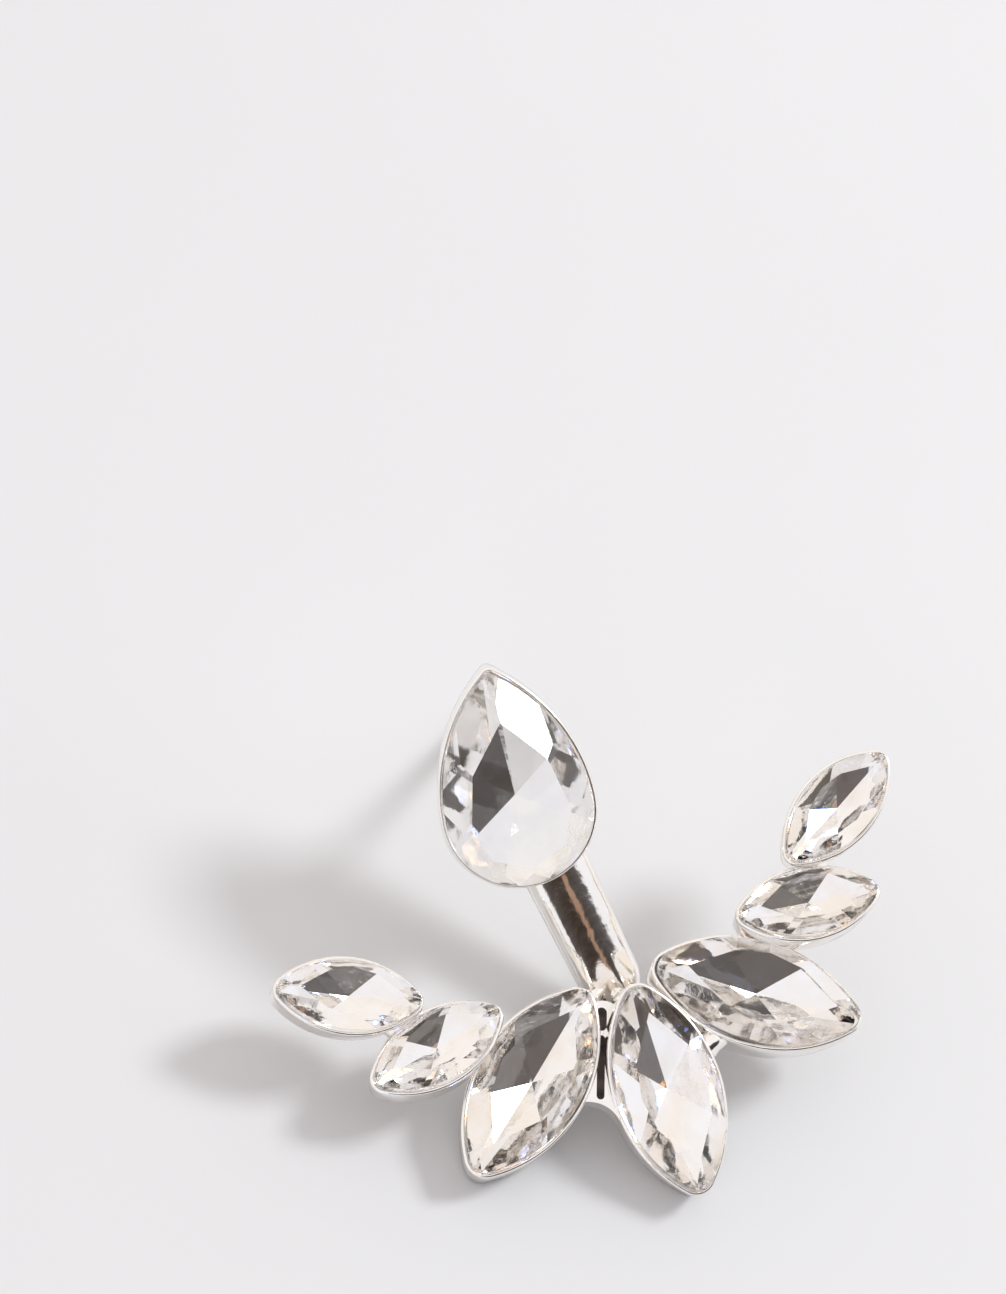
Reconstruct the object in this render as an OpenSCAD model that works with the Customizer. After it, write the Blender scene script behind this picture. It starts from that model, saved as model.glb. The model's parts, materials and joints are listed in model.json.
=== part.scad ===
// Ear jacket earring. A stud with a pear stone passes its post through the
// top of a bar, and the bar carries a fan of seven marquise stones.
// Lengths are in millimetres and angles in degrees.
//
// The jacket is drawn in its own plane first: X runs across the fan, Y runs
// from the fan towards the stud and Z leaves the stones' faces. The rest
// pose at the end lays the whole piece down on the points that carry it.

/* [Marquise settings] */
// Length over the rim of each of the three large cups
large_l = 11; // [10.5:0.1:11.5]
// Width over the rim of each large cup
large_w = 5.7; // [5.3:0.1:6.1]
// Length over the rim of each of the four small cups
small_l = 7.6; // [7.2:0.1:8]
// Width over the rim of each small cup
small_w = 4; // [3.7:0.1:4.3]
// Depth of a large cup from its rim to its back
large_depth = 2.4; // [2.2:0.1:2.8]
// Depth of a small cup from its rim to its back
small_depth = 2; // [1.8:0.1:2.4]
// Length by which each pointed end of a cup is blunted
tip_cut = 0.12; // [0.06:0.02:0.2]

/* [All settings] */
// Thickness of the thin rim round every stone
rim_t = 0.25; // [0.2:0.05:0.35]
// Thickness of the closed back of every cup
back_t = 0.5; // [0.4:0.05:0.6]
// Width of the ledge that carries a stone inside its cup
ledge_w = 0.25; // [0.15:0.05:0.35]
// Gap all round between a stone and its cup
stone_gap = 0.05; // [0.03:0.01:0.08]

/* [Stones] */
// Height of a stone's crown as a share of its width
crown_share = 0.19; // [0.14:0.01:0.24]
// Height of a stone's straight edge
girdle_h = 0.25; // [0.15:0.05:0.35]
// Size of the flat table as a share of the outline
table_share = 0.56; // [0.48:0.02:0.64]

/* [Fan] */
// Height of the two end stones above the middle of the fan
arm_rise = 2.6; // [2:0.1:3.2]
// Angle by which the centre stone's outer tip droops
centre_droop = 15; // [10:1:20]
// Turn of the centre stone about the face of the fan
centre_turn = 87.5; // [85:0.5:90]
// Gap between the centre stone's cup and the fan's own origin
heart_gap = 0.1; // [0:0.05:0.4]
// Radius of the cast bridges behind the large cups
large_bridge_r = 0.75; // [0.6:0.05:0.9]
// Radius of the cast bridges behind the small cups
small_bridge_r = 0.55; // [0.45:0.05:0.7]

/* [Bar] */
// Distance from the middle of the bar's foot to its hole, along the bar
bar_l = 12.5; // [11.5:0.1:14]
// Width of the bar at its foot
foot_w = 3.1; // [2.8:0.1:3.4]
// Width of the bar at its top end
head_w = 3.8; // [3.5:0.1:4.2]
// Thickness of the bar at its crest
bar_t = 1.6; // [1.4:0.1:2]
// Height by which the crest stands above the bar's edges
dome_h = 0.6; // [0.4:0.05:0.8]
// Angle at which the bar rises from the fan
bar_slope = 26.5; // [22:0.5:30]
// Angle by which the bar leans towards the left arm
bar_lean = 5.5; // [3:0.5:8]
// Place of the foot's middle: to the right, towards the stud
foot_place = [-0.35, 1.1];
// Depth of the bar's crest below the rims at the foot
foot_drop = 1.8; // [1.5:0.1:2.1]

/* [Stud] */
// Length over the rim of the pear cup
pear_l = 11.3; // [10.8:0.1:12]
// Width over the rim of the pear cup
pear_w = 7.8; // [7.4:0.1:8.2]
// Depth of the pear cup from its rim to its back
pear_depth = 2.4; // [2.2:0.1:2.8]
// Diameter of the ear post
post_d = 0.9; // [0.8:0.05:1]
// Length of the ear post behind the cup
post_l = 15; // [13:0.5:17]
// Distance from the middle of the pear's round end to the post
post_shift = 2.1; // [1.5:0.1:2.6]
// Length of the blunted end of the post
post_point = 0.4; // [0.3:0.05:0.6]
// Diameter of the post's thicker root, which turns in the bar's hole
root_d = 1.25; // [1.25:0.05:1.4]
// Length by which the root comes out behind the bar
root_out = 0.3; // [0.25:0.05:0.5]
// Gap all round between the root and its hole
root_gap = 0.05; // [0.03:0.01:0.08]
// Gap between the back of the pear cup and the bar's crest
seat_gap = 0.15; // [0.1:0.05:0.3]
// Angle by which the post leans across the bar
post_lean = 16; // [8:1:20]
// Angle by which the pear is turned about its post
stud_turn = -10; // [-30:1:30]

/* [Hidden] */
$fn = 64;
STONE_NODES = [
    "left_end_stone", "left_small_stone", "left_large_stone", "centre_stone",
    "right_large_stone", "right_small_stone", "right_end_stone"];

// The right arm, from the centre stone outwards. Columns: turn of the stone's
// long axis, lift of its inner tip, roll about its long axis, height as a
// share of arm_rise, heading from the last stone, and the room added between
// the two as a share of this cup's width. The left arm is its mirror image.
ARM = [
    [144, 4, -1, 0.07, 25, 0.125],
    [170.5, 0.5, 2, 0.63, 37.5, -0.1],
    [205, -7, -3, 1, 50, -0.11]];

// Shares of a cut stone, chosen by eye: height of the kites' corners in the
// crown and how far they stand out past half way to the edge, depth and
// width of the ring of corners in the pavilion, and the pear's point below
// over the middle of its round end, as a share of its width
kite_rise = 0.55;
kite_out = 0.06;
main_drop = 0.5;
main_width = 0.55;
pear_middle = 0.12;
// Place along the cups of the second bridge beside the centre stone
side_bridge = 0.5;
// Weight of solid metal against a cup with its stone of the same outer size
metal_weight = 3;
// A slope steeper than any that the rest pose can meet
steepest = 1000;

// A seat holds place, angles and size of one marquise cup, in this order.
PLACE = 0;
ANGLES = 1;
LENGTH = 2;
WIDTH = 3;
DEPTH = 4;

function turn_x(a, v) = [v.x, v.y * cos(a) - v.z * sin(a), v.y * sin(a) + v.z * cos(a)];
function turn_y(a, v) = [v.x * cos(a) + v.z * sin(a), v.y, v.z * cos(a) - v.x * sin(a)];
function turn_z(a, v) = [v.x * cos(a) - v.y * sin(a), v.x * sin(a) + v.y * cos(a), v.z];
function turned(a, v) = turn_z(a.z, turn_y(a.y, turn_x(a.x, v)));
function total(list, i = 0) = i == len(list) - 1 ? list[i] : list[i] + total(list, i + 1);
function flipped(list) = [for (i = [len(list) - 1:-1:0]) list[i]];

// Distance from the middle of an oval to its edge at angle a from its length
function reach(l, w, a) = l * w / 2 / norm([w * cos(a), l * sin(a)]);

function arm_l(k) = k == 1 ? large_l : small_l;
function arm_w(k) = k == 1 ? large_w : small_w;
function arm_depth(k) = k == 1 ? large_depth : small_depth;
centre_place = [0, -large_l / 2 * cos(centre_droop) - heart_gap, 0];

// Distance between the middles of stone k and the one before it on the arm
function stride(k) =
    let (row = ARM[k - 1],
         last_turn = k == 1 ? 90 : ARM[k - 2][0],
         last_l = k == 1 ? large_l : arm_l(k - 1),
         last_w = k == 1 ? large_w : arm_w(k - 1))
    reach(last_l, last_w, row[4] - last_turn) + reach(arm_l(k), arm_w(k), row[4] - row[0])
        + row[5] * arm_w(k);
function arm_place(k) = k == 0 ? centre_place :
    let (row = ARM[k - 1], last = arm_place(k - 1), step = stride(k))
    [last.x + step * cos(row[4]), last.y + step * sin(row[4]), row[3] * arm_rise];
function right_seat(k) =
    let (row = ARM[k - 1])
    [arm_place(k), [row[2], -row[1], row[0]], arm_l(k), arm_w(k), arm_depth(k)];
function mirrored(seat) =
    let (p = seat[PLACE], a = seat[ANGLES])
    [[-p.x, p.y, p.z], [-a.x, a.y, 180 - a.z], seat[LENGTH], seat[WIDTH], seat[DEPTH]];
right_arm = [for (k = [1:len(ARM)]) right_seat(k)];
centre_seat = [centre_place, [0, -centre_droop, centre_turn], large_l, large_w, large_depth];
SEATS = concat(flipped([for (s = right_arm) mirrored(s)]), [centre_seat], right_arm);
CENTRE = len(ARM);
function seat_point(seat, v) = seat[PLACE] + turned(seat[ANGLES], v);

// The bar's frame: X across it, Y along it from the middle of its foot to the
// hole, Z up from its crest. The stud's frame sits on the post's axis, half
// way through the bar, with Y towards the pear's point.
foot = [foot_place.x, foot_place.y, -foot_drop];
function bar_point(v) = foot + turned([bar_slope, 0, bar_lean], v);
function stud_point(v) =
    bar_point([0, bar_l, -bar_t / 2] + turn_y(-post_lean, turn_z(stud_turn, v)));
dome_r = (pow(head_w / 2, 2) + dome_h * dome_h) / (2 * dome_h);
taper = asin((head_w - foot_w) / 2 / bar_l);
post_r = post_d / 2;
root_r = root_d / 2;
hole_r = root_r + root_gap;
// Height of the pear cup's back over the stud's origin: the dome's crest
// passes under the leaning cup with seat_gap between them
seat_h = dome_r - (dome_r - bar_t / 2) * cos(post_lean) + seat_gap;
pear_rim = seat_h + pear_depth;
post_end = seat_h - post_l;
root_end = -bar_t / 2 - root_out;

// Marquise outline of two wide arcs with blunted ends, drawn inset from a
// cup of length l and width w
module marquise(l, w, inset = 0) {
    c = l / 2 + tip_cut;
    h = w / 2;
    side_r = (c * c + h * h) / (2 * h);
    intersection() {
        translate([0, h - side_r]) circle(side_r - inset, $fn = 180);
        translate([0, side_r - h]) circle(side_r - inset, $fn = 180);
        circle(l / 2 - inset, $fn = 180);
    }
}

// Pear outline round the middle of its round end, with its blunted point
// along Y, drawn inset in the same way
module pear(l, w, inset = 0) {
    round_r = w / 2;
    top = l - round_r + tip_cut;
    side_r = (round_r * round_r + top * top) / (2 * round_r);
    intersection() {
        translate([round_r - side_r, 0]) circle(side_r - inset, $fn = 180);
        translate([side_r - round_r, 0]) circle(side_r - inset, $fn = 180);
        circle(l - round_r - inset, $fn = 180);
        translate([-w, 0]) square([2 * w, l]);
    }
    circle(round_r - inset, $fn = 90);
}

// Points of a stone's outline, anticlockwise, 16 in all
function marquise_edge(l, w) =
    let (c = l / 2, h = w / 2, r = (c * c + h * h) / (2 * h), a = asin(c / r))
    [for (side = [0, 180]) for (j = [0:7])
        let (t = a - j * a / 4, p = [r * sin(t), r * cos(t) - (r - h)])
        side == 0 ? p : -p];
function pear_edge(l, w) =
    let (h = w / 2, top = l - h, r = (h * h + top * top) / (2 * h), a = asin(top / r))
    concat(
        [for (j = [0:3]) let (t = a - j * a / 4) [r - h - r * cos(t), r * sin(t)]],
        [for (j = [0:7]) [-h * cos(j * 22.5), -h * sin(j * 22.5)]],
        [for (j = [0:3]) let (t = j * a / 4) [h - r + r * cos(t), r * sin(t)]]);
function lifted(edge, share, centre, z) =
    [for (p = edge) [centre.x + (p.x - centre.x) * share, centre.y + (p.y - centre.y) * share, z]];

// A cut stone on a 16-point edge whose top lies at z = 0: a table of eight
// sides, eight kites with their stars and halves, a straight girdle, and a
// pavilion of eight mains and their halves down to a point
module cut_stone(edge, centre, crown_h, pavilion_h) {
    odd = [for (j = [0:7]) edge[2 * j + 1]];
    even = [for (j = [0:7]) edge[2 * j]];
    kite_share = (1 + table_share) / 2 + kite_out;
    points = concat(
        [[centre.x, centre.y, -girdle_h - pavilion_h]],
        lifted(odd, main_width, centre, -girdle_h - pavilion_h * main_drop),
        lifted(edge, 1, centre, -girdle_h),
        lifted(edge, 1, centre, 0),
        lifted(odd, kite_share, centre, crown_h * kite_rise),
        lifted(even, table_share, centre, crown_h));
    low = 1;
    belt = 9;
    brim = 25;
    kite = 41;
    table = 49;
    faces = concat(
        [for (j = [0:7]) [0, low + j, low + (j + 7) % 8]],
        [for (j = [0:7]) [low + j, belt + 2 * j, low + (j + 7) % 8]],
        [for (j = [0:7]) [low + j, belt + 2 * j + 1, belt + 2 * j]],
        [for (j = [0:7]) [low + j, belt + (2 * j + 2) % 16, belt + 2 * j + 1]],
        [for (j = [0:15]) [belt + j, belt + (j + 1) % 16, brim + (j + 1) % 16]],
        [for (j = [0:15]) [belt + j, brim + (j + 1) % 16, brim + j]],
        [for (j = [0:7]) [kite + j, brim + 2 * j, brim + 2 * j + 1]],
        [for (j = [0:7]) [kite + j, brim + 2 * j + 1, brim + (2 * j + 2) % 16]],
        [for (j = [0:7]) [brim + 2 * j, kite + j, table + j]],
        [for (j = [0:7]) [brim + 2 * j, table + j, kite + (j + 7) % 8]],
        [for (j = [0:7]) [kite + j, table + (j + 1) % 8, table + j]],
        [[for (j = [0:7]) table + j]]);
    polyhedron(points, [for (f = faces) flipped(f)]);
}

// Size across a stone whose cup measures size over its rim
function stone_of(size) = size - 2 * (rim_t + stone_gap);
function pavilion_of(depth) = depth - back_t - girdle_h - stone_gap;
// Depth of the ledge's top below the rim: the stone's slope passes over the
// inner edge of the ledge there, clear of it
function ledge_depth(depth, width) =
    let (slope = pavilion_of(depth) * main_drop / (stone_of(width) / 2 * (1 - main_width)))
    girdle_h + stone_gap + ledge_w * slope;

module marquise_cup(seat) {
    translate([0, 0, -seat[DEPTH]]) linear_extrude(seat[DEPTH])
        marquise(seat[LENGTH], seat[WIDTH]);
}

// Inside of a marquise cup: the stone's place above, the ledge's hollow below
module marquise_hollow(seat) {
    step = ledge_depth(seat[DEPTH], seat[WIDTH]);
    translate([0, 0, -step]) linear_extrude(step + 1)
        marquise(seat[LENGTH], seat[WIDTH], rim_t);
    translate([0, 0, back_t - seat[DEPTH]]) linear_extrude(seat[DEPTH] - back_t)
        marquise(seat[LENGTH], seat[WIDTH], rim_t + ledge_w);
}

module marquise_stone(seat) {
    l = stone_of(seat[LENGTH]);
    w = stone_of(seat[WIDTH]);
    cut_stone(marquise_edge(l, w), [0, 0], w * crown_share, pavilion_of(seat[DEPTH]));
}

module on_seat(seat) {
    translate(seat[PLACE]) rotate(seat[ANGLES]) children();
}

module on_bar() {
    translate(foot) rotate([bar_slope, 0, bar_lean]) children();
}

module on_stud() {
    on_bar() translate([0, bar_l, -bar_t / 2]) rotate([0, -post_lean, 0])
        rotate([0, 0, stud_turn]) children();
}

// A round rod between two points
module rod(p, q, r) {
    d = q - p;
    translate(p) rotate([0, acos(d.z / norm(d)), atan2(d.y, d.x)])
        cylinder(r = r, h = norm(d));
}

// A point in the middle of a cup's back, moved along its length by a share
function back_middle(seat, share = 0) =
    seat_point(seat, [share * seat[LENGTH] / 2, 0, large_bridge_r - seat[DEPTH]]);

// Cast bridges behind neighbouring cups, two between the centre and the
// large stone on its left, and the two roots under the bar's foot
module bridges() {
    for (i = [0:len(SEATS) - 2]) {
        small = SEATS[i][WIDTH] == small_w || SEATS[i + 1][WIDTH] == small_w;
        rod(back_middle(SEATS[i]), back_middle(SEATS[i + 1]),
            small ? small_bridge_r : large_bridge_r);
    }
    rod(back_middle(SEATS[CENTRE - 1], side_bridge), back_middle(SEATS[CENTRE], side_bridge),
        small_bridge_r);
    root = bar_point([0, 0, -bar_t / 2]);
    rod(root, back_middle(SEATS[CENTRE - 1]), large_bridge_r);
    rod(root, back_middle(SEATS[CENTRE]), large_bridge_r);
}

// Domed bar with two round ends, in its own frame
module bar() {
    intersection() {
        translate([0, bar_l + head_w, 0]) rotate([90, 0, 0])
            linear_extrude(bar_l + head_w + foot_w) intersection() {
                translate([0, -dome_r]) circle(dome_r, $fn = 180);
                translate([-head_w, -bar_t]) square([2 * head_w, 2 * bar_t]);
            }
        translate([0, 0, -2 * bar_t]) linear_extrude(3 * bar_t) {
            circle(foot_w / 2);
            translate([0, bar_l]) circle(head_w / 2);
            polygon([
                [-foot_w / 2 * cos(taper), -foot_w / 2 * sin(taper)],
                [foot_w / 2 * cos(taper), -foot_w / 2 * sin(taper)],
                [head_w / 2 * cos(taper), bar_l - head_w / 2 * sin(taper)],
                [-head_w / 2 * cos(taper), bar_l - head_w / 2 * sin(taper)]]);
        }
    }
}

// Fan, bridges and bar are one casting, with the cups' insides and the
// post's hole cut from all of it
module jacket_casting() {
    color([0.86, 0.85, 0.82]) resting() difference() {
        union() {
            for (seat = SEATS) on_seat(seat) marquise_cup(seat);
            bridges();
            on_bar() bar();
        }
        for (seat = SEATS) on_seat(seat) marquise_hollow(seat);
        on_stud() cylinder(r = hole_r, h = 4 * bar_t, center = true);
    }
}

module jacket_stone(i) {
    color([0.82, 0.86, 0.9]) resting() on_seat(SEATS[i]) marquise_stone(SEATS[i]);
}

// Closed-back pear cup with the plain ear post soldered to it
module stud_setting() {
    step = ledge_depth(pear_depth, pear_w);
    color([0.88, 0.87, 0.84]) resting() on_stud() {
        difference() {
            translate([0, -post_shift, seat_h]) linear_extrude(pear_depth)
                pear(pear_l, pear_w);
            translate([0, -post_shift, pear_rim - step]) linear_extrude(step + 1)
                pear(pear_l, pear_w, rim_t);
            translate([0, -post_shift, seat_h + back_t]) linear_extrude(pear_depth)
                pear(pear_l, pear_w, rim_t + ledge_w);
        }
        translate([0, 0, root_end])
            cylinder(r = root_r, h = seat_h + back_t / 2 - root_end);
        translate([0, 0, post_end + post_point])
            cylinder(r = post_r, h = root_end - post_end - post_point + back_t);
        translate([0, 0, post_end])
            cylinder(r1 = post_r / 2, r2 = post_r, h = post_point);
    }
}

module pear_stone() {
    l = stone_of(pear_l);
    w = stone_of(pear_w);
    color([0.8, 0.84, 0.9]) resting() on_stud() translate([0, -post_shift, pear_rim])
        cut_stone(pear_edge(l, w), [0, w * pear_middle],
            w * crown_share, pavilion_of(pear_depth));
}

// Rest pose. The earring stands on the end of its post and on the lowest
// corners of two cups: the plane through the post's end first meets one
// corner as it tilts, then swings about that line to the next.
function outline(l, w, z) = [for (p = marquise_edge(l, w)) [p.x, p.y, z]];
cup_backs = [for (s = SEATS) for (p = outline(s[LENGTH], s[WIDTH], -s[DEPTH])) seat_point(s, p)];
cup_rims = [for (s = SEATS) for (p = outline(s[LENGTH], s[WIDTH], 0)) seat_point(s, p)];
pear_points = [for (z = [seat_h, pear_rim]) for (p = pear_edge(pear_l, pear_w))
    stud_point([p.x, p.y - post_shift, z])];
post_foot = stud_point([0, 0, post_end]);
cup_weights = [for (s = SEATS) s[LENGTH] * s[WIDTH] * s[DEPTH]];
pear_weight = pear_l * pear_w * pear_depth;
bar_weight = bar_l * bar_t * (foot_w + head_w) / 2 * metal_weight;
balance = (total([for (i = [0:len(SEATS) - 1]) cup_weights[i] * SEATS[i][PLACE]])
    + pear_weight * stud_point([0, 0, pear_rim])
    + bar_weight * bar_point([0, bar_l / 2, 0])) / (total(cup_weights) + pear_weight + bar_weight);

// The point of a list with the least score
function least(list, scores) = list[search(min(scores), scores)[0]];
ahead = [balance.x - post_foot.x, balance.y - post_foot.y, 0];
forward = ahead / norm(ahead);
first_foot = least(cup_backs, [for (p = cup_backs)
    let (d = p - post_foot) d * forward > 1 ? d.z / (d * forward) : steepest]);
pivot = (first_foot - post_foot) / norm(first_foot - post_foot);
level = cross(pivot, [0, 0, 1]) / norm(cross(pivot, [0, 0, 1]));
inward = (balance - post_foot) * level > 0 ? level : -level;
upright = cross(inward, pivot).z > 0 ? cross(inward, pivot) : -cross(inward, pivot);
second_foot = least(cup_backs, [for (p = cup_backs)
    let (d = p - post_foot) d * inward > 1 ? (d * upright) / (d * inward) : steepest]);
plane = cross(first_foot - post_foot, second_foot - post_foot);
up = plane / norm(plane) * (plane.z > 0 ? 1 : -1);
lay_y = -atan2(up.x, up.z);
lay_x = atan2(up.y, norm([up.x, up.z]));
function laid(v) = turn_x(lay_x, turn_y(lay_y, v));
laid_points = [for (p = concat(cup_backs, cup_rims, pear_points, [post_foot])) laid(p)];
low_corner = [for (k = [0:2]) min([for (p = laid_points) p[k]])];
high_corner = [for (k = [0:2]) max([for (p = laid_points) p[k]])];
rest_shift = -[(low_corner.x + high_corner.x) / 2, (low_corner.y + high_corner.y) / 2, low_corner.z];

module resting() {
    translate(rest_shift) rotate([lay_x, 0, 0]) rotate([0, lay_y, 0]) children();
}

jacket_casting();
jacket_stone(0);  // left_end_stone
jacket_stone(1);  // left_small_stone
jacket_stone(2);  // left_large_stone
jacket_stone(3);  // centre_stone
jacket_stone(4);  // right_large_stone
jacket_stone(5);  // right_small_stone
jacket_stone(6);  // right_end_stone
stud_setting();
pear_stone();
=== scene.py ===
"""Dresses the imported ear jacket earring: cut stones, cast settings, bar and stud on a pale floor."""

import json
import logging
import math
from dataclasses import dataclass, field
from enum import Enum
from typing import ClassVar

import bmesh
import bpy
from mathutils import Matrix, Vector, noise


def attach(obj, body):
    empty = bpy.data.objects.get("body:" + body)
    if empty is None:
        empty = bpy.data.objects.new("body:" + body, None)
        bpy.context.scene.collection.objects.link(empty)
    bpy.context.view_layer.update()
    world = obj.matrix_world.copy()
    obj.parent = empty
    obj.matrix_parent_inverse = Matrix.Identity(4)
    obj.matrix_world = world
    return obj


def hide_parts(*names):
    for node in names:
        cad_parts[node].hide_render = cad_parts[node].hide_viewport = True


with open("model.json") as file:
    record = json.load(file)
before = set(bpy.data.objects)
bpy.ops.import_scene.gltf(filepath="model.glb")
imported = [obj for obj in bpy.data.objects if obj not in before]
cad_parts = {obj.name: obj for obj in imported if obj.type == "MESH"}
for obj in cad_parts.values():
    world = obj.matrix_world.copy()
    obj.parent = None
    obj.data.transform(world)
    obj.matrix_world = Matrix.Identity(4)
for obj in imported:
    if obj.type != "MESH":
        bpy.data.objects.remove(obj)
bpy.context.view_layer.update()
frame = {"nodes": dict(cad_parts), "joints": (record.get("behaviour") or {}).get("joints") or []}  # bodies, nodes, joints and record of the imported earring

MM = 0.001
MERGE_GAP = 1e-4  # corners nearer than this become one, in millimetres
ON_PLANE = 1e-5  # corners nearer than this to a cutting plane lie on it, in millimetres
POST_HOLE = Vector(frame["joints"][0]["pos_m"])
LOG = logging.getLogger("earring")
X_AXIS = Vector((1, 0, 0))
Y_AXIS = Vector((0, 1, 0))
Z_AXIS = Vector((0, 0, 1))

Colour = tuple[float, float, float]
Stop = tuple[float, Colour]


class Slot(Enum):
    """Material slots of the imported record."""

    METAL = "silver_plate"
    STONE = "clear_stone"


class Body(Enum):
    """Bodies of the earring that move on their own."""

    JACKET = "jacket"
    STUD = "stud"

    @property
    def casting(self) -> str:
        """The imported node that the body's metal pieces stand for together."""
        return "jacket_casting" if self is Body.JACKET else "stud_setting"


class Edges(Enum):
    """The angle in degrees above which an edge is sharp, by how the piece is made."""

    GROUND = 0.0
    TURNED = 40.0
    CAST = 50.0
    BRIDGED = 60.0


def pick(made: dict, key: str, kind: type) -> list:
    """Returns the elements of one kind from what a mesh operator made.

    Args:
        made: The operator's result.
        key: The name of the result's list.
        kind: The kind of element that is wanted.

    Returns:
        The elements in their own order.
    """
    return [element for element in made[key] if isinstance(element, kind)]


def turn(angles: tuple[float, float, float]) -> Matrix:
    """Returns the turn about X, then Y, then Z, by three angles in degrees.

    Args:
        angles: The three angles.

    Returns:
        A matrix of four rows.
    """
    about = [Matrix.Rotation(math.radians(a), 4, axis) for a, axis in zip(angles, "XYZ")]
    return about[2] @ about[1] @ about[0]


def axes_at(origin: Vector, *axes: Vector) -> Matrix:
    """Returns the frame that has its three axes as given.

    Args:
        origin: The frame's origin.
        axes: Its X, Y and Z axes.

    Returns:
        A matrix of four rows.
    """
    place = Matrix(axes).transposed().to_4x4()
    place.translation = origin
    return place


def add_object(name: str, data: bpy.types.ID) -> bpy.types.Object:
    """Adds an object to the scene.

    Args:
        name: The object's name.
        data: Its mesh, light or camera.

    Returns:
        The new object.
    """
    added = bpy.data.objects.new(name, data)
    bpy.context.scene.collection.objects.link(added)
    return added


@dataclass(frozen=True)
class Arc:
    """One arc of an outline: its middle and radius, the angle where it starts and the one it sweeps."""

    centre: Vector
    radius: float
    first: float
    sweep: float
    steps: int

    @property
    def start(self) -> Vector:
        """The point where the arc starts."""
        return self.centre + Vector((math.cos(self.first), math.sin(self.first), 0)) * self.radius


@dataclass(frozen=True)
class Outline:
    """A closed plane outline of arcs, with straight lines between those that don't meet."""

    arcs: tuple[Arc, ...]

    def face(self, bm: bmesh.types.BMesh, height: float) -> bmesh.types.BMFace:
        """Adds the outline to a mesh as one level face.

        Args:
            bm: The mesh, with nothing else in it.
            height: The level of the face.

        Returns:
            The new face, which looks up.
        """
        starts, ends = [], []
        for arc in self.arcs:
            starts.append(bm.verts.new(arc.start))
            made = bmesh.ops.spin(
                bm, geom=starts[-1:], cent=arc.centre, axis=Z_AXIS, angle=arc.sweep, steps=arc.steps,
                use_merge=False, use_duplicate=False)
            ends += pick(made, "geom_last", bmesh.types.BMVert)
        for end, start in zip(ends, starts[1:] + starts[:1]):
            bm.edges.new((end, start))
        bmesh.ops.remove_doubles(bm, verts=bm.verts[:], dist=MERGE_GAP)
        made = bmesh.ops.contextual_create(bm, geom=bm.edges[:])
        bmesh.ops.translate(bm, verts=bm.verts[:], vec=Z_AXIS * height)
        face = made["faces"][0]
        face.normal_update()
        if face.normal.z < 0:
            face.normal_flip()
        return face


@dataclass(frozen=True)
class Shape:
    """The plan of a stone or a cup, in millimetres, whose points are small arcs."""

    length: float
    width: float
    tip_r: float

    LEAST_TIP_R: ClassVar[float] = 0.04
    HALF_TIP_STEPS: ClassVar[int] = 4

    @property
    def half(self) -> float:
        """Distance from the widest place to a point."""
        raise NotImplementedError

    @property
    def tip_in(self) -> float:
        """Distance from the widest place to the middle of a tip's arc."""
        return self.half - self.tip_r

    @property
    def side_r(self) -> float:
        """Radius of the side arcs, which run smoothly into those of the tips."""
        girth = self.width / 2
        return (girth ** 2 + self.tip_in ** 2 - self.tip_r ** 2) / (2 * (girth - self.tip_r))

    @property
    def side_arc(self) -> float:
        """Angle of a side arc from its widest place to a tip, in radians."""
        return math.asin(self.tip_in / (self.side_r - self.tip_r))

    def outline(self) -> Outline:
        """Returns the closed outline of this plan."""
        raise NotImplementedError

    def reach(self, angle: float) -> float:
        """Returns how far the outline reaches in a direction, from the plan's middle."""
        raise NotImplementedError

    def whole(self, half: float, width: float) -> float:
        """Returns the length of such a plan, from its half and its width."""
        raise NotImplementedError

    def inset(self, gap: float) -> "Shape":
        """Returns the same plan drawn inside this one.

        Args:
            gap: The distance between the two, all round.

        Returns:
            The smaller plan, its tips kept a little round.
        """
        tip_r = max(self.tip_r - gap, self.LEAST_TIP_R)
        centre = self.side_r - self.width / 2
        half = math.sqrt((self.side_r - gap - tip_r) ** 2 - centre ** 2) + tip_r
        width = self.width - 2 * gap
        return type(self)(self.whole(half, width), width, tip_r)


class Marquise(Shape):
    """A plan of two wide arcs that meet in two points, its length along X."""

    SIDE_STEPS: ClassVar[int] = 28

    @property
    def half(self) -> float:
        """Distance from the widest place to a point."""
        return self.length / 2

    def outline(self) -> Outline:
        """Returns half a tip, a side, a tip, a side and half a tip.

        Returns:
            The outline, anticlockwise from the point on X.
        """
        low = Vector((0, self.width / 2 - self.side_r, 0))
        tip = Vector((self.tip_in, 0, 0))
        side = 2 * self.side_arc
        turn_in = math.pi / 2 - self.side_arc
        few = self.HALF_TIP_STEPS
        return Outline((
            Arc(tip, self.tip_r, 0, turn_in, few),
            Arc(low, self.side_r, turn_in, side, self.SIDE_STEPS),
            Arc(-tip, self.tip_r, math.pi - turn_in, 2 * turn_in, 2 * few),
            Arc(-low, self.side_r, math.pi + turn_in, side, self.SIDE_STEPS),
            Arc(tip, self.tip_r, -turn_in, turn_in, few)))

    def reach(self, angle: float) -> float:
        """Returns how far the outline reaches at an angle in radians from X.

        Args:
            angle: The direction.

        Returns:
            The distance of the tangent across that direction.
        """
        across = abs(math.sin(angle))
        if across < math.cos(self.side_arc):
            return self.tip_in * abs(math.cos(angle)) + self.tip_r
        return self.side_r + (self.width / 2 - self.side_r) * across

    def whole(self, half: float, width: float) -> float:
        """Returns the length of such a plan, which is twice its half."""
        return 2 * half


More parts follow.
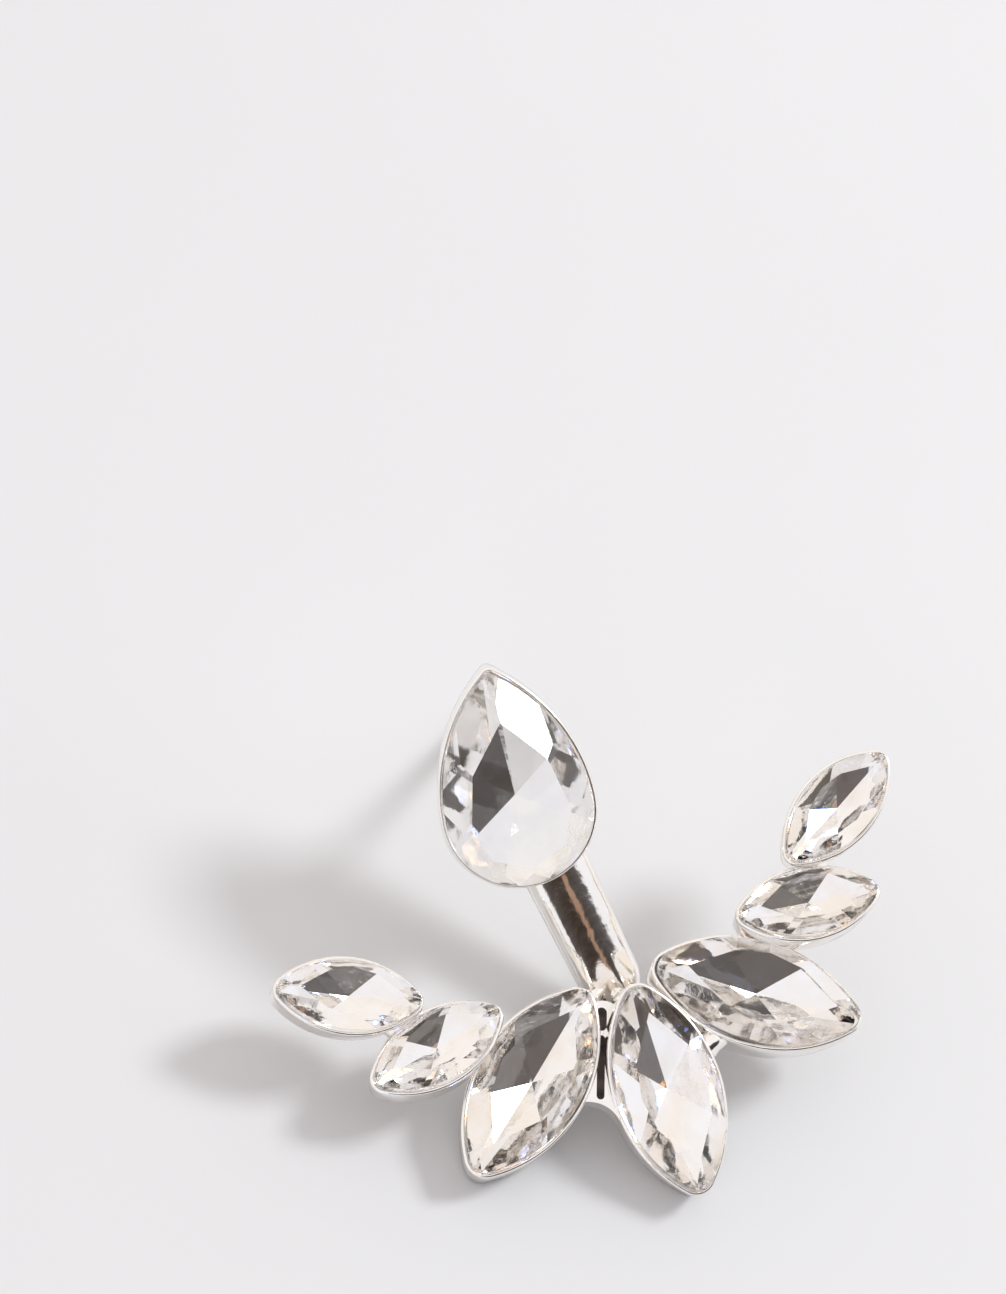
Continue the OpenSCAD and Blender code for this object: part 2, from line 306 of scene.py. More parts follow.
class Pear(Shape):
    """A drop-shaped plan, its point along Y, drawn from the middle of its round end."""

    SIDE_STEPS: ClassVar[int] = 20
    ROUND_STEPS: ClassVar[int] = 28

    @property
    def half(self) -> float:
        """Distance from the middle of the round end to the point."""
        return self.length - self.width / 2

    def outline(self) -> Outline:
        """Returns half the tip, the left side, the round end, the right side and half the tip.

        Returns:
            The outline, anticlockwise from the point on Y.
        """
        right = Vector((self.side_r - self.width / 2, 0, 0))
        tip = Vector((0, self.tip_in, 0))
        side = self.side_arc
        turn_in = math.pi / 2 - side
        few = self.HALF_TIP_STEPS
        return Outline((
            Arc(tip, self.tip_r, math.pi / 2, turn_in, few),
            Arc(right, self.side_r, math.pi - side, side, self.SIDE_STEPS),
            Arc(Vector(), self.width / 2, math.pi, math.pi, self.ROUND_STEPS),
            Arc(-right, self.side_r, 0, side, self.SIDE_STEPS),
            Arc(tip, self.tip_r, side, turn_in, few)))

    def reach(self, angle: float) -> float:
        """Returns how far the outline reaches at an angle in radians from X.

        Args:
            angle: The direction.

        Returns:
            The distance of the tangent across that direction.
        """
        if math.sin(angle) <= 0:
            return self.width / 2
        if math.sin(angle) > math.sin(self.side_arc):
            return self.tip_in * math.sin(angle) + self.tip_r
        return self.side_r - (self.side_r - self.width / 2) * abs(math.cos(angle))

    def whole(self, half: float, width: float) -> float:
        """Returns the length of such a plan, which is its half and the radius of its round end."""
        return half + width / 2


def face_out(bm: bmesh.types.BMesh) -> None:
    """Turns the faces of a closed mesh outwards.

    Args:
        bm: The mesh.
    """
    bmesh.ops.recalc_face_normals(bm, faces=bm.faces[:])
    if bm.calc_volume(signed=True) < 0:
        bmesh.ops.reverse_faces(bm, faces=bm.faces[:])


def prism(outline: Outline, low: float, high: float) -> bmesh.types.BMesh:
    """Makes a closed prism on an outline.

    Args:
        outline: The plan.
        low: The level of the bottom.
        high: The level of the top.

    Returns:
        A new mesh.
    """
    bm = bmesh.new()
    bottom = outline.face(bm, low)
    made = bmesh.ops.extrude_face_region(bm, geom=[bottom], use_keep_orig=True)
    bmesh.ops.translate(bm, verts=pick(made, "geom", bmesh.types.BMVert), vec=Z_AXIS * (high - low))
    face_out(bm)
    return bm


def level_edges(bm: bmesh.types.BMesh, height: float, within: float = 1e-3) -> list[bmesh.types.BMEdge]:
    """Returns the edges that lie at one level.

    Args:
        bm: The mesh.
        height: The level.
        within: How far off the level an edge may lie.

    Returns:
        The edges whose two ends lie there.
    """
    return [e for e in bm.edges if all(abs(v.co.z - height) < within for v in e.verts)]


def soften(bm: bmesh.types.BMesh, edges: list[bmesh.types.BMEdge], width: float, segments: int) -> None:
    """Rounds edges.

    Args:
        bm: The mesh.
        edges: The edges.
        width: The width of the round.
        segments: The faces across it.
    """
    bmesh.ops.bevel(
        bm, geom=edges, offset=width, offset_type="OFFSET", affect="EDGES", segments=segments,
        profile=0.5, material=-1, clamp_overlap=True)


def slice_across(bm: bmesh.types.BMesh, along: Vector, places: list[float]) -> None:
    """Cuts a mesh's faces by a row of planes, which leaves its shape as it was.

    Args:
        bm: The mesh.
        along: The direction of the row.
        places: The distances of the planes from the origin.
    """
    for place in places:
        bmesh.ops.bisect_plane(
            bm, geom=[*bm.verts, *bm.edges, *bm.faces], dist=ON_PLANE, plane_co=along * place,
            plane_no=along)


def lathe(profile: list[tuple[float, float]], steps: int) -> bmesh.types.BMesh:
    """Turns a profile about Z into a closed mesh.

    Args:
        profile: Radius and height of each corner, from end to end, both ends on the axis.
        steps: The faces round it.

    Returns:
        A new mesh.
    """
    bm = bmesh.new()
    corners = [bm.verts.new((radius, 0, height)) for radius, height in profile]
    edges = [bm.edges.new(pair) for pair in zip(corners, corners[1:])]
    bmesh.ops.spin(
        bm, geom=[*corners, *edges], cent=Vector(), axis=Z_AXIS, angle=2 * math.pi, steps=steps,
        use_merge=True, use_duplicate=False)
    bmesh.ops.remove_doubles(bm, verts=bm.verts[:], dist=MERGE_GAP)
    face_out(bm)
    return bm


def gather(parts: list[bmesh.types.BMesh]) -> bmesh.types.BMesh:
    """Puts several meshes into one, and frees them.

    Args:
        parts: The meshes.

    Returns:
        A new mesh.
    """
    whole = bmesh.new()
    for part in parts:
        carrier = bpy.data.meshes.new("carrier")
        part.to_mesh(carrier)
        part.free()
        whole.from_mesh(carrier)
        bpy.data.meshes.remove(carrier)
    return whole


def carve(body: bmesh.types.BMesh, tool: bmesh.types.BMesh) -> bmesh.types.BMesh:
    """Cuts one closed mesh out of another, and frees both.

    Args:
        body: The mesh that is cut.
        tool: The mesh that cuts it.

    Returns:
        A new mesh.
    """
    pair = []
    for part in (body, tool):
        mesh = bpy.data.meshes.new("carving")
        part.to_mesh(mesh)
        part.free()
        pair.append(add_object("carving", mesh))
    cut = pair[0].modifiers.new("cut", "BOOLEAN")
    cut.operation = "DIFFERENCE"
    cut.solver = "EXACT"
    cut.object = pair[1]
    left = bmesh.new()
    left.from_object(pair[0], bpy.context.evaluated_depsgraph_get())
    for solid in pair:
        mesh = solid.data
        bpy.data.objects.remove(solid)
        bpy.data.meshes.remove(mesh)
    return left


def finish_piece(
    bm: bmesh.types.BMesh, name: str, place: Matrix, materials: list[bpy.types.Material],
    body: Body, node: str, edges: Edges,
) -> bpy.types.Object:
    """Turns a mesh in millimetres into a piece of the earring, with its place in its mesh.

    Args:
        bm: The mesh, which is freed.
        name: The piece's name.
        place: Where the mesh's own frame lies in the earring, in metres.
        materials: The materials that its faces number.
        body: The body that it rides on.
        node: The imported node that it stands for.
        edges: How the piece is made, which says how sharp its edges are.

    Returns:
        The new object.
    """
    bm.transform(place @ Matrix.Scale(MM, 4))
    mesh = bpy.data.meshes.new(name)
    bm.to_mesh(mesh)
    bm.free()
    for material in materials:
        mesh.materials.append(material)
    if edges is Edges.GROUND:
        mesh.shade_flat()
    else:
        mesh.shade_smooth()
        mesh.set_sharp_from_angle(angle=math.radians(edges.value))
    piece = add_object(name, mesh)
    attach(piece, body.value)
    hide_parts(node)
    LOG.info("%s: %d faces on %s", name, len(mesh.polygons), body.value)
    return piece


def finish_metal(
    bm: bmesh.types.BMesh, name: str, place: Matrix, metal: bpy.types.Material, body: Body,
    edges: Edges = Edges.CAST,
) -> bpy.types.Object:
    """Turns a mesh in millimetres into a metal piece, which stands for a part of its body's casting.

    Args:
        bm: The mesh, which is freed.
        name: The piece's name.
        place: Where the mesh's own frame lies in the earring, in metres.
        metal: Its material.
        body: The body that it rides on.
        edges: How the piece is made.

    Returns:
        The new object.
    """
    return finish_piece(bm, name, place, [metal], body, body.casting, edges)


@dataclass(frozen=True)
class Finish:
    """A procedural finish on a Principled shader, its patterns in object coordinates and millimetres."""

    name: str
    colour: Colour
    roughness: float
    metallic: float = 0.0
    transmission: float = 0.0
    ior: float = 1.5
    tint: Colour | None = None
    patch: float = 2.0
    wave: float = 0.0
    wave_depth: float = 0.0
    haze: float = 0.0

    NOISE_DETAIL: ClassVar[float] = 3
    TINT_SPAN: ClassVar[tuple[float, float]] = (0.35, 0.75)
    HAZE_SPAN: ClassVar[tuple[float, float]] = (0.4, 0.8)

    def material(self) -> bpy.types.Material:
        """Returns the finish as a material.

        Returns:
            A material whose colour, roughness and relief vary over the surface.
        """
        material = bpy.data.materials.new(self.name)
        material.use_nodes = True
        tree = material.node_tree
        shader = tree.nodes["Principled BSDF"]
        shader.inputs["Base Color"].default_value = (*self.colour, 1)
        shader.inputs["Roughness"].default_value = self.roughness
        shader.inputs["Metallic"].default_value = self.metallic
        shader.inputs["IOR"].default_value = self.ior
        shader.inputs["Transmission Weight"].default_value = self.transmission
        coords = tree.nodes.new("ShaderNodeTexCoord")
        if self.tint:
            self._patches(tree, coords, shader)
        if self.haze:
            self._haze(tree, coords, shader)
        if self.wave_depth:
            self._relief(tree, coords, shader)
        return material

    def _noise(self, tree: bpy.types.NodeTree, coords: bpy.types.Node, size: float) -> bpy.types.Node:
        """Adds a noise of one size.

        Args:
            tree: The node tree.
            coords: The coordinates that it reads.
            size: The size of its patches in millimetres.

        Returns:
            The noise node.
        """
        pattern = tree.nodes.new("ShaderNodeTexNoise")
        pattern.inputs["Scale"].default_value = 1 / (size * MM)
        pattern.inputs["Detail"].default_value = self.NOISE_DETAIL
        tree.links.new(coords.outputs["Object"], pattern.inputs["Vector"])
        return pattern

    def _patches(self, tree: bpy.types.NodeTree, coords: bpy.types.Node, shader: bpy.types.Node) -> None:
        """Lets the colour drift towards the tint in soft patches.

        Args:
            tree: The node tree.
            coords: The coordinates that the pattern reads.
            shader: The Principled shader.
        """
        ramp = tree.nodes.new("ShaderNodeValToRGB")
        for element, place, colour in zip(
                ramp.color_ramp.elements, self.TINT_SPAN, (self.colour, self.tint)):
            element.position = place
            element.color = (*colour, 1)
        pattern = self._noise(tree, coords, self.patch)
        tree.links.new(pattern.outputs["Fac"], ramp.inputs["Fac"])
        tree.links.new(ramp.outputs["Color"], shader.inputs["Base Color"])

    def _haze(self, tree: bpy.types.NodeTree, coords: bpy.types.Node, shader: bpy.types.Node) -> None:
        """Varies the roughness between that of the finish and that with its haze.

        Args:
            tree: The node tree.
            coords: The coordinates that the pattern reads.
            shader: The Principled shader.
        """
        spread = tree.nodes.new("ShaderNodeMapRange")
        spread.inputs["From Min"].default_value = self.HAZE_SPAN[0]
        spread.inputs["From Max"].default_value = self.HAZE_SPAN[1]
        spread.inputs["To Min"].default_value = self.roughness
        spread.inputs["To Max"].default_value = self.roughness + self.haze
        pattern = self._noise(tree, coords, self.patch / 2)
        tree.links.new(pattern.outputs["Fac"], spread.inputs["Value"])
        tree.links.new(spread.outputs["Result"], shader.inputs["Roughness"])

    def _relief(self, tree: bpy.types.NodeTree, coords: bpy.types.Node, shader: bpy.types.Node) -> None:
        """Adds the slight waves of a cast and plated surface.

        Args:
            tree: The node tree.
            coords: The coordinates that the pattern reads.
            shader: The Principled shader.
        """
        bump = tree.nodes.new("ShaderNodeBump")
        bump.inputs["Strength"].default_value = 1
        bump.inputs["Distance"].default_value = self.wave_depth * MM
        pattern = self._noise(tree, coords, self.wave)
        tree.links.new(pattern.outputs["Fac"], bump.inputs["Height"])
        tree.links.new(bump.outputs["Normal"], shader.inputs["Normal"])


PLATING = Finish(
    "bright_silver_plate", (0.96, 0.94, 0.91), roughness=0.09, metallic=1, tint=(0.92, 0.875, 0.82),
    patch=2.6, wave=0.65, wave_depth=0.022, haze=0.08)
STEEL = Finish(
    "post_steel", (0.62, 0.62, 0.64), roughness=0.2, metallic=1, tint=(0.5, 0.5, 0.52),
    patch=1.2, wave=0.25, wave_depth=0.003, haze=0.12)
# Dark rough metal behind the web's slots: painted shade, standing for the shade in the narrow gap between
# two cups
PAINTED_SLOT_SHADE = Finish(
    "painted_slot_shade", (0.05, 0.045, 0.045), roughness=0.45, metallic=1, tint=(0.16, 0.13, 0.12),
    patch=0.6, wave=0.3, wave_depth=0.03, haze=0.15)
GLASS = Finish(
    "stone_glass", (1, 1, 1), roughness=0.01, transmission=1, ior=1.54, patch=1.5, haze=0.025)
FOIL = Finish(
    "stone_foil", (0.96, 0.955, 0.955), roughness=0.03, metallic=1, tint=(0.92, 0.86, 0.785),
    patch=1.8, wave=0.8, wave_depth=0.007, haze=0.06)
PEAR_FOIL = Finish(
    "pear_stone_foil", (0.96, 0.94, 0.915), roughness=0.035, metallic=1, tint=(0.87, 0.865, 0.855),
    patch=2.2, wave=0.9, wave_depth=0.007, haze=0.08)
FLOOR = Finish("pale_floor", (0.695, 0.69, 0.7), roughness=0.75, tint=(0.685, 0.68, 0.69), patch=40)


@dataclass(frozen=True)
class Seat:
    """Where a stone sits, in metres, and its size at its brim, in millimetres."""

    middle: Vector
    along: Vector
    up: Vector
    length: float
    width: float

    SAME_WAY: ClassVar[float] = 0.9999  # cosine between the normals of one flat face's triangles
    FRONT: ClassVar[float] = 0.5  # cosine from the table's normal that still counts as the front
    PLACES: ClassVar[int] = 6  # decimal places of a metre that a corner's height keeps
    SAME_LEVEL: ClassVar[float] = 2e-5  # corners of a packed stone nearer than this in height are level
    BRIM: ClassVar[int] = 3  # the brim's place among the levels of a packed stone, from its point

    @classmethod
    def read(cls, node: str, pear: bool = False) -> "Seat":
        """Finds a packed stone's seat from its own corners.

        Args:
            node: The stone's name.
            pear: Whether the stone is a pear, whose middle is that of its round end.

        Returns:
            The seat.
        """
        mesh = frame["nodes"][node].data
        table = max(mesh.polygons, key=lambda p: p.area)
        up = max(
            (sum(p.area for p in mesh.polygons if p.normal.dot(q.normal) > cls.SAME_WAY), q.normal.copy())
            for q in mesh.polygons if q.normal.dot(table.normal) > cls.FRONT)[1]
        corners = [v.co.copy() for v in mesh.vertices]
        heights = sorted({round(c.dot(up), cls.PLACES) for c in corners})
        levels = [a for a, b in zip(heights, [heights[0] - 1, *heights]) if a - b > cls.SAME_LEVEL]
        brim = [c for c in corners if abs(c.dot(up) - levels[cls.BRIM]) < cls.SAME_LEVEL]
        point, tail = max(((a, b) for a in brim for b in brim), key=lambda pair: (pair[0] - pair[1]).length)
        along = (point - tail).normalized()
        across = up.cross(along)
        sides = [c.dot(across) for c in brim]
        width = max(sides) - min(sides)
        middle = (point + tail) / 2
        if pear:
            heel = min(corners, key=lambda c: c.dot(up))
            if (heel - middle).dot(along) > 0:
                point, tail, along = tail, point, -along
            middle = tail + along * width / 2
        return cls(middle, along, up, (point - tail).length / MM, width / MM)

    def place(self, shape: Shape) -> Matrix:
        """Returns the frame in which a plan is drawn on this seat.

        Args:
            shape: The plan, a marquise along X or a pear along Y.

        Returns:
            A matrix of four rows.
        """
        across = self.up.cross(self.along)
        if isinstance(shape, Pear):
            return axes_at(self.middle, -across, self.along, self.up)
        return axes_at(self.middle, self.along, across, self.up)


@dataclass
class CutStone:
    """A faceted stone, ground from a prism by one plane after another."""

    name: str
    node: str
    seat: Seat
    shape: Shape
    body: Body
    crown_turns: tuple[float, ...]
    pavilion_turns: tuple[float, ...]
    pavilion_h: float
    crown_share: float = 0.19
    girdle_h: float = 0.47
    table_share: float = 0.64
    brim_steep: float = 1.4
    brim_in: float = 0.985
    lower_steep: float = 1.4
    lower_shares: tuple[float, ...] = (0.5,)
    shift: float = 0.0
    lean: tuple[float, float] = (0.0, 0.0)

    SLIVER: ClassVar[float] = 2e-3  # facets narrower than this are closed up, in millimetres
    FOIL_FROM: ClassVar[float] = -0.05  # faces whose normals point further down carry the foil

    @property
    def crown_h(self) -> float:
        """Height of the crown over the brim."""
        return self.shape.width * self.crown_share

    def grind(self, bm: bmesh.types.BMesh, point: Vector, normal: Vector) -> None:
        """Cuts away what lies beyond a plane and closes the stone with a facet.

        Args:
            bm: The stone.
            point: A point of the facet.
            normal: The facet's outward direction.
        """
        made = bmesh.ops.bisect_plane(
            bm, geom=[*bm.verts, *bm.edges, *bm.faces], dist=ON_PLANE, plane_co=point,
            plane_no=normal.normalized(), clear_outer=True)
        rim = pick(made, "geom_cut", bmesh.types.BMEdge)
        if len(rim) > 2:
            bmesh.ops.contextual_create(bm, geom=rim)

    def crown(self, bm: bmesh.types.BMesh) -> None:
        """Grinds the kites down from the table, and the small facets between them at the brim.

        Args:
            bm: The stone.
        """
        for angle in self.crown_turns:
            self.grind_crown(bm, angle, 1.0, 1.0)
        if not self.brim_steep:
            return
        for first, second in zip(self.crown_turns, self.crown_turns[1:] + self.crown_turns[:1]):
            between = first + ((second - first) % (2 * math.pi)) / 2
            self.grind_crown(bm, between, self.brim_steep, self.brim_in)

    def grind_crown(self, bm: bmesh.types.BMesh, angle: float, steep: float, share: float) -> None:
        """Grinds one facet of the crown.

        Args:
            bm: The stone.
            angle: The direction that it faces, in radians from X.
            steep: Its slope as a multiple of a kite's.
            share: Where it meets the brim's level, as a share of the reach.
        """
        out = Vector((math.cos(angle), math.sin(angle), 0))
        reach = self.shape.reach(angle)
        slope = steep * self.crown_h / (reach * (1 - self.table_share))
        self.grind(bm, out * reach * share, out * slope + Z_AXIS)

    def pavilion(self, bm: bmesh.types.BMesh) -> None:
        """Grinds the mains down to the point below, and the steeper facets between them.

        Args:
            bm: The stone.
        """
        for angle in self.pavilion_turns:
            self.grind_pavilion(bm, angle, 1.0, 1.0)
        for first, second in zip(self.pavilion_turns, self.pavilion_turns[1:] + self.pavilion_turns[:1]):
            for share in self.lower_shares:
                between = first + ((second - first) % (2 * math.pi)) * share
                self.grind_pavilion(bm, between, self.lower_steep, self.brim_in)

    def grind_pavilion(self, bm: bmesh.types.BMesh, angle: float, steep: float, share: float) -> None:
        """Grinds one facet of the pavilion.

        Args:
            bm: The stone.
            angle: The direction that it faces, in radians from X.
            steep: Its slope as a multiple of a main's.
            share: Where it meets the girdle's lower level, as a share of the reach.
        """
        out = Vector((math.cos(angle), math.sin(angle), 0))
        heel = Vector((0, self.shift, -self.girdle_h))
        reach = self.shape.reach(angle) - heel.dot(out)
        lean = turn((*self.lean, 0)).to_3x3()
        normal = out * steep * self.pavilion_h / reach - Z_AXIS
        self.grind(bm, heel + lean @ out * reach * share, lean @ normal)

    def build(self, glass: bpy.types.Material, foil: bpy.types.Material) -> bpy.types.Object:
        """Grinds the stone and sets it in its seat.

        Args:
            glass: The material of the crown and the table.
            foil: The mirror behind the pavilion.

        Returns:
            The stone.
        """
        bm = prism(self.shape.outline(), -self.girdle_h - self.pavilion_h, self.crown_h)
        self.crown(bm)
        self.pavilion(bm)
        bmesh.ops.remove_doubles(bm, verts=bm.verts[:], dist=self.SLIVER)
        bmesh.ops.dissolve_degenerate(bm, edges=bm.edges[:], dist=MERGE_GAP)
        face_out(bm)
        for face in bm.faces:
            face.material_index = int(face.normal.z < self.FOIL_FROM)
        place = self.seat.place(self.shape)
        return finish_piece(
            bm, self.name, place, [glass, foil], self.body, self.node, Edges.GROUND)


@dataclass
class Cup:
    """A cast cup with a closed back, a thin rounded rim and a ledge for its stone."""

    name: str
    seat: Seat
    shape: Shape
    body: Body
    depth: float
    rim_t: float = 0.24
    rim_drop: float = 0.34
    ledge_w: float = 0.25
    ledge_depth: float = 0.6
    back_t: float = 0.5
    back_round: float = 0.2
    draft: float = 0.1
    waist: tuple[float, float] = (0.4, 0.45)  # the wall's middle corner, in shares of draft and depth
    sway: float = 0.05
    sway_scale: float = 0.8
    round_steps: int = 4
    stone_in: float = 0.24
    hollow_in: float = 0.15
    hollow_floor: float = 0.25
    hollow_top: float = 1.5
    bridge_h: float = 0.75  # height at which the bridges end, over the cup's back

    def profile(self) -> list[tuple[float, float]]:
        """Returns the wall's section from the back, over the rim and down to the hollow's floor.

        Returns:
            For each corner of the section, its inset from the plan and its level.
        """
        rim_r = self.rim_t / 2
        turns = [math.pi / 2 * k / self.round_steps for k in range(self.round_steps + 1)]
        back = [(self.draft + self.back_round * (1 - math.sin(t)),
                 -self.depth + self.back_round * (1 - math.cos(t))) for t in turns]
        wall = [(self.draft * self.waist[0], -self.depth * self.waist[1])]
        top = rim_r + self.rim_drop
        rim = [(rim_r * (1 - math.cos(t)), rim_r * math.sin(t) - top) for t in turns]
        rim += [(rim_r * (1 + math.sin(t)), rim_r * math.cos(t) - top) for t in turns[1:]]
        step = [(self.rim_t, -self.ledge_depth), (self.rim_t + self.ledge_w, -self.ledge_depth)]
        floor = [(self.rim_t + self.ledge_w, self.back_t - self.depth)]
        return back + wall + rim + step + floor

    def build(self, metal: bpy.types.Material) -> bpy.types.Object:
        """Lays the plan's outline at each corner of the section and joins one to the next.

        Args:
            metal: The plating.

        Returns:
            The cup.
        """
        bm = bmesh.new()
        (inset, level), *rest = self.profile()
        front = self.shape.inset(inset).outline().face(bm, level)
        for step, (inset, level) in enumerate(rest):
            layer = bmesh.new()
            plan = self.shape.inset(inset).outline().face(layer, level)
            made = bmesh.ops.extrude_face_region(bm, geom=[front], use_keep_orig=True)
            if step:
                bmesh.ops.delete(bm, geom=[front], context="FACES_ONLY")
            front = pick(made, "geom", bmesh.types.BMFace)[0]
            for v, corner in zip(front.verts, plan.verts):
                v.co = corner.co
            layer.free()
        for v in bm.verts:
            wave = noise.noise(v.co * self.sway_scale + self.seat.middle / MM)
            v.co.z += min(0.0, wave * self.sway)
        face_out(bm)
        place = self.seat.place(self.shape)
        return finish_metal(bm, self.name, place, metal, self.body)

    def stone_plan(self) -> Shape:
        """Returns the plan of the stone that the cup holds."""
        return self.shape.inset(self.stone_in)

    def back(self, rise: float = 0.0) -> Vector:
        """Returns the point in the cup's back where a bridge ends.

        Args:
            rise: How far it lies above a bridge's usual place, in millimetres.

        Returns:
            The point, in metres.
        """
        return self.seat.middle + self.seat.up * (self.bridge_h - self.depth + rise) * MM

    def clear(self, bm: bmesh.types.BMesh) -> bmesh.types.BMesh:
        """Cuts the cup's hollow out of what joins its wall.

        Args:
            bm: The mesh in the earring's frame and in millimetres, which is freed.

        Returns:
            A new mesh.
        """
        plan = self.shape.inset(self.hollow_in).outline()
        hollow = prism(plan, self.hollow_floor - self.depth, self.hollow_top)
        place = self.seat.place(self.shape)
        place.translation /= MM
        hollow.transform(place)
        return carve(bm, hollow)


@dataclass
class Rod:
    """A cast bridge between two points in metres, narrow in its middle and flared at the cups."""

    start: Vector
    end: Vector
    radius: float
    waist: float = 0.86
    flare: float = 1.12
    rings: int = 24
    sides: int = 36
    rough: float = 0.12
    rough_scale: float = 1.6

    def build(self) -> bmesh.types.BMesh:
        """Turns the bridge, its skin a little uneven as cast.

        Returns:
            A new mesh in the earring's frame and in millimetres.
        """
        span = self.end - self.start
        half = span.length / MM / 2
        shares = [2 * k / self.rings - 1 for k in range(self.rings + 1)]
        spread = self.flare - self.waist
        profile = [(self.radius * (self.waist + spread * s * s), s * half) for s in shares]
        bm = lathe([(0, -half), *profile, (0, half)], self.sides)
        aim = span.to_track_quat("Z", "Y").to_matrix().to_4x4()
        bm.transform(Matrix.Translation((self.start + self.end) / 2 / MM) @ aim)
        bm.normal_update()
        moves = [v.normal * noise.noise(v.co * self.rough_scale) * self.rough for v in bm.verts]
        for v, move in zip(bm.verts, moves):
            v.co += move
        return bm


@dataclass
class Bar:
    """The domed bar that rises from the fan, with its narrower toe and the post's hole."""

    fan: Matrix
    length: float = 12.5
    foot_w: float = 3.1
    head_w: float = 3.8
    thickness: float = 1.6
    dome_h: float = 0.6
    slope: float = 26.5
    lean: float = 5.5
    swing: float = 3.0
    toe_out: float = 1.4
    toe_r: float = 0.9
    foot_place: tuple[float, float, float] = (-0.35, 1.1, -1.8)
    hole_r: float = 0.675
    hole_steps: int = 48
    head_steps: int = 30
    shoulder_steps: int = 5
    toe_steps: int = 16
    upper_round: tuple[float, int] = (0.42, 5)  # width and faces across
    lower_round: tuple[float, int] = (0.2, 2)
    columns: int = 20
    rows: int = 24
    toe_rows: int = 4
    sway: float = 0.05
    sway_scale: float = 0.8
    root_share: float = 0.65

    @property
    def place(self) -> Matrix:
        """The bar's own frame, its foot at the origin and its hole along Y, swung about the hole.

        Returns:
            Where that frame lies in the earring, in metres.
        """
        foot = Matrix.Translation(Vector(self.foot_place) * MM)
        packed = self.fan @ foot @ turn((self.slope, 0, self.lean))
        hole = Matrix.Translation(packed.inverted() @ POST_HOLE)
        return packed @ hole @ turn((0, 0, self.swing)) @ hole.inverted()

    @property
    def root(self) -> Vector:
        """The point inside the foot where the bridges to the cups start, in metres."""
        return self.place @ Vector((0, 0, -self.root_share * self.thickness * MM))

    def outline(self) -> Outline:
        """Returns the round head, the foot's two shoulders and the toe between them.

        Returns:
            The outline, anticlockwise from the head's right side.
        """
        taper = math.asin((self.head_w - self.foot_w) / 2 / self.length)
        head, foot = self.head_w / 2, self.foot_w / 2
        narrow = math.asin((foot - self.toe_r) / self.toe_out)
        round_toe = math.pi - 2 * narrow
        return Outline((
            Arc(Y_AXIS * self.length, head, -taper, math.pi + 2 * taper, self.head_steps),
            Arc(Vector(), foot, math.pi + taper, narrow - taper, self.shoulder_steps),
            Arc(Y_AXIS * -self.toe_out, self.toe_r, math.pi + narrow, round_toe, self.toe_steps),
            Arc(Vector(), foot, -narrow, narrow - taper, self.shoulder_steps)))

    def build(self, metal: bpy.types.Material) -> bpy.types.Object:
        """Bends a flat bar into its dome and drills the post's hole.

        Args:
            metal: The plating.

        Returns:
            The bar.
        """
        bm = prism(self.outline(), -self.thickness, 0)
        soften(bm, level_edges(bm, 0), *self.upper_round)
        soften(bm, level_edges(bm, -self.thickness), *self.lower_round)
        slice_across(bm, X_AXIS, [self.head_w * (k / self.columns - 0.5) for k in range(1, self.columns)])
        slice_across(
            bm, Y_AXIS, [self.length * k / self.rows for k in range(-self.toe_rows, self.rows + 1)])
        dome_r = ((self.head_w / 2) ** 2 + self.dome_h ** 2) / (2 * self.dome_h)
        for v in bm.verts:
            share = max(0.0, 1 + v.co.z / self.thickness)
            dome = math.sqrt(dome_r ** 2 - v.co.x ** 2) - dome_r
            sway = noise.noise(v.co * self.sway_scale) * self.sway
            v.co = v.co + Z_AXIS * (dome + min(0.0, sway)) * share
        face_out(bm)
        deep = 2 * self.thickness
        drill = lathe(
            [(0, -deep), (self.hole_r, -deep), (self.hole_r, deep), (0, deep)], self.hole_steps)
        place = self.place
        bmesh.ops.translate(drill, verts=drill.verts[:], vec=place.inverted() @ POST_HOLE / MM)
        return finish_metal(carve(bm, drill), "bar", place, metal, Body.JACKET)


@dataclass(frozen=True)
class WebSlot:
    """A slot of the web: where it starts and its length, as shares of the web's line, and its radius."""

    start: float
    length: float
    radius: float


